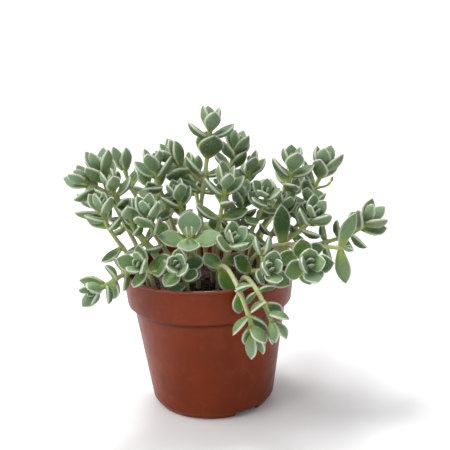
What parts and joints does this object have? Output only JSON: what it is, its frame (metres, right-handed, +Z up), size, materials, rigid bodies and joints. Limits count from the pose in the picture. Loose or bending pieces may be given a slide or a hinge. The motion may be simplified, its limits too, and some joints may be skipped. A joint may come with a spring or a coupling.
{
  "type": "potted david crassula",
  "caption": "Fuzzy-leaved trailing succulent with white-edged spoon-shaped leaves, growing from soil in a round terracotta-coloured plastic nursery pot.",
  "frame": {"origin": "centre of the underside of the pot's flat base", "axes": "+Z up; +X towards the side with the farthest reaching stem; -Y towards the front, over which two stems trail"},
  "size_m": [0.1522, 0.1269, 0.1463],
  "materials": {
    "pot": "semi-gloss",
    "soil": "matte",
    "leaf": "matte, downy"
  },
  "bodies": {
    "root": {"pot": "pot", "soil": "soil", "stem_back_left": "leaf", "stem_back_left_low": "leaf", "stem_back_left_tall": "leaf", "stem_back_middle": "leaf", "stem_back_right": "leaf", "stem_back_right_low": "leaf", "stem_back_tall": "leaf", "stem_back_trailing": "leaf", "stem_broad": "leaf", "stem_centre": "leaf", "stem_centre_front": "leaf", "stem_creeping": "leaf", "stem_crown": "leaf", "stem_crown_right": "leaf", "stem_deep_right": "leaf", "stem_far_left": "leaf", "stem_far_right": "leaf", "stem_front_left": "leaf", "stem_front_middle": "leaf", "stem_front_right": "leaf", "stem_inner_far_right": "leaf", "stem_inner_left": "leaf", "stem_inner_right": "leaf", "stem_left_lone": "leaf", "stem_left_middle": "leaf", "stem_left_pale": "leaf", "stem_left_round": "leaf", "stem_left_slant": "leaf", "stem_left_tall": "leaf", "stem_middle_back": "leaf", "stem_right_front": "leaf", "stem_right_open": "leaf", "stem_right_outer": "leaf", "stem_right_tall": "leaf", "stem_rim_left": "leaf", "stem_trailing": "leaf", "stem_trailing_short": "leaf"}
  },
  "joints": []
}
